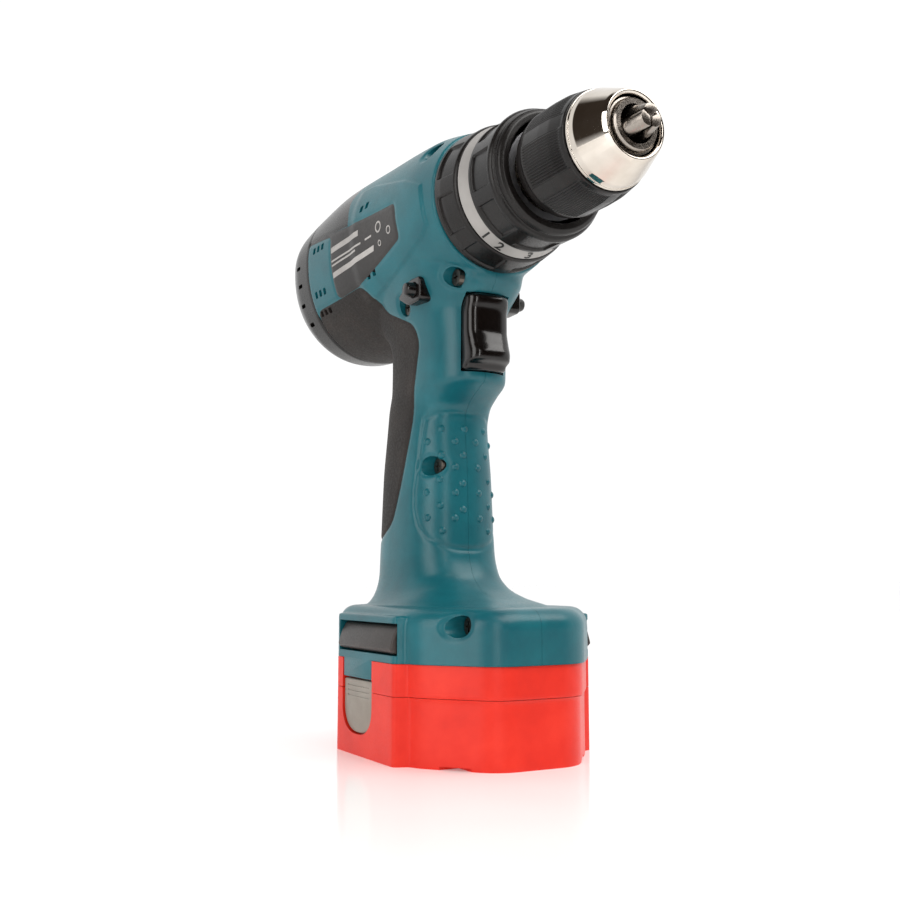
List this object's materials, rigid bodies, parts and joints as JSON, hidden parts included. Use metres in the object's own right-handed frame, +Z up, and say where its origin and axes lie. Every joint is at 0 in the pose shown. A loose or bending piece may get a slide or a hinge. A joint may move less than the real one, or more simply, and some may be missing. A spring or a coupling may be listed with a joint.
{
  "type": "cordless drill",
  "caption": "Pistol-grip cordless hammer drill driver with a keyless chuck, two selector rings and a pod battery that slides off the handle.",
  "frame": {"origin": "centre of the battery's footprint on the surface it stands on", "axes": "+X towards the chuck, +Y to the user's left, +Z up"},
  "size_m": [0.245, 0.0926, 0.2568],
  "materials": {
    "housing_teal": "fine moulded texture, satin",
    "black_plastic": "smooth moulded",
    "rubber_grip": "soft textured overmould",
    "label_grey": "printed plate",
    "battery_red": "smooth moulded, satin",
    "button_grey": "fine moulded texture",
    "band_silver": "painted band",
    "chrome_nose": "polished",
    "bare_steel": "turned or ground",
    "gear_case_alloy": "die cast",
    "copper": "plain metal",
    "carbon": "pressed carbon",
    "cell_wrap": "shrink sleeve"
  },
  "bodies": {
    "housing": {"housing_right": "housing_teal", "housing_left": "housing_teal", "rear_cover": "black_plastic", "grip_right": "rubber_grip", "grip_left": "rubber_grip", "nameplate_right": "label_grey", "nameplate_left": "label_grey", "latch_cover_right": "black_plastic", "latch_cover_left": "black_plastic", "housing_screw_front_low": "bare_steel", "housing_screw_middle": "bare_steel", "housing_screw_front_top": "bare_steel", "housing_screw_handle": "bare_steel", "housing_screw_foot_front": "bare_steel", "gear_case": "gear_case_alloy", "ring_gear": "bare_steel", "motor_can": "bare_steel", "brush_holder": "black_plastic", "brush_right": "carbon", "brush_left": "carbon", "clutch_spring": "bare_steel", "spindle_bearing": "bare_steel", "switch_body": "black_plastic", "terminal_block": "black_plastic"},
    "rotor": {"armature": "copper", "motor_shaft": "bare_steel", "commutator": "copper", "cooling_fan": "black_plastic", "motor_pinion": "bare_steel"},
    "spindle": {"planet_carrier": "bare_steel", "spindle_shaft": "bare_steel", "chuck_screw": "bare_steel", "chuck_body": "bare_steel"},
    "planet_1": {"planet_gear_1": "bare_steel"},
    "planet_2": {"planet_gear_2": "bare_steel"},
    "planet_3": {"planet_gear_3": "bare_steel"},
    "sleeve": {"chuck_sleeve": "black_plastic", "chuck_nose": "chrome_nose", "jaw_nut": "bare_steel"},
    "jaw_1": {"chuck_jaw_1": "bare_steel"},
    "jaw_2": {"chuck_jaw_2": "bare_steel"},
    "jaw_3": {"chuck_jaw_3": "bare_steel"},
    "mode_selector": {"mode_ring": "black_plastic"},
    "torque_selector": {"torque_ring": "black_plastic", "number_band": "band_silver"},
    "trigger": {"trigger": "black_plastic"},
    "reversing_lever": {"reversing_lever": "black_plastic"},
    "speed_selector": {"speed_selector": "black_plastic"},
    "battery": {"battery_lower": "battery_red", "battery_upper": "battery_red", "cell_pack": "cell_wrap", "tower_cell": "cell_wrap", "terminal_right": "copper", "terminal_left": "copper"},
    "release_button_right": {"release_button_right": "button_grey"},
    "release_button_left": {"release_button_left": "button_grey"}
  },
  "joints": [
    {"name": "spindle_spin", "type": "hinge", "parent": "housing", "child": "spindle", "pos_m": [0.09, 0, 0.2214], "axis": [1, 0, 0], "continuous": true},
    {"name": "rotor_spin", "type": "hinge", "parent": "housing", "child": "rotor", "pos_m": [-0.055, 0, 0.2214], "axis": [1, 0, 0], "continuous": true},
    {"name": "planet_1_spin", "type": "hinge", "parent": "spindle", "child": "planet_1", "pos_m": [-0.014, 0.012, 0.2214], "axis": [1, 0, 0], "continuous": true},
    {"name": "planet_2_spin", "type": "hinge", "parent": "spindle", "child": "planet_2", "pos_m": [-0.014, -0.006, 0.23179], "axis": [1, 0, 0], "continuous": true},
    {"name": "planet_3_spin", "type": "hinge", "parent": "spindle", "child": "planet_3", "pos_m": [-0.014, -0.006, 0.21101], "axis": [1, 0, 0], "continuous": true},
    {"name": "sleeve_turn", "type": "hinge", "parent": "spindle", "child": "sleeve", "pos_m": [0.09, 0, 0.2214], "axis": [1, 0, 0], "range_deg": [0, 3240]},
    {"name": "jaw_1_slide", "type": "slide", "parent": "spindle", "child": "jaw_1", "axis": [-0.9659, 0, 0.2588], "range_m": [0, 0.0181]},
    {"name": "jaw_2_slide", "type": "slide", "parent": "spindle", "child": "jaw_2", "axis": [-0.9659, -0.2241, -0.1294], "range_m": [0, 0.0181]},
    {"name": "jaw_3_slide", "type": "slide", "parent": "spindle", "child": "jaw_3", "axis": [-0.9659, 0.2241, -0.1294], "range_m": [0, 0.0181]},
    {"name": "mode_set", "type": "hinge", "parent": "housing", "child": "mode_selector", "pos_m": [0.035, 0, 0.2214], "axis": [1, 0, 0], "range_deg": [0, 60]},
    {"name": "torque_set", "type": "hinge", "parent": "housing", "child": "torque_selector", "pos_m": [0.057, 0, 0.2214], "axis": [1, 0, 0], "range_deg": [0, 300]},
    {"name": "trigger_pull", "type": "slide", "parent": "housing", "child": "trigger", "axis": [-1, 0, 0], "range_m": [0, 0.006], "stiffness_N_per_m": 1500, "springref_m": -0.002},
    {"name": "reversing_slide", "type": "slide", "parent": "housing", "child": "reversing_lever", "axis": [0, 1, 0], "range_m": [-0.004, 0.004]},
    {"name": "speed_slide", "type": "slide", "parent": "housing", "child": "speed_selector", "axis": [1, 0, 0], "range_m": [-0.004, 0.004]},
    {"name": "battery_slide", "type": "slide", "parent": "housing", "child": "battery", "axis": [0, 0, -1], "range_m": [0, 0.065]},
    {"name": "release_right_press", "type": "slide", "parent": "battery", "child": "release_button_right", "axis": [0, 1, 0], "range_m": [0, 0.0025], "stiffness_N_per_m": 3000, "springref_m": -0.0005},
    {"name": "release_left_press", "type": "slide", "parent": "battery", "child": "release_button_left", "axis": [0, -1, 0], "range_m": [0, 0.0025], "stiffness_N_per_m": 3000, "springref_m": -0.0005}
  ],
  "couplings": [
    {"joint": "rotor_spin", "follows": "spindle_spin", "ratio": 5},
    {"joint": "planet_1_spin", "follows": "spindle_spin", "ratio": -2.6667},
    {"joint": "planet_2_spin", "follows": "spindle_spin", "ratio": -2.6667},
    {"joint": "planet_3_spin", "follows": "spindle_spin", "ratio": -2.6667},
    {"joint": "jaw_1_slide", "follows": "sleeve_turn", "m_per_rad": 0.00031831},
    {"joint": "jaw_2_slide", "follows": "sleeve_turn", "m_per_rad": 0.00031831},
    {"joint": "jaw_3_slide", "follows": "sleeve_turn", "m_per_rad": 0.00031831}
  ]
}
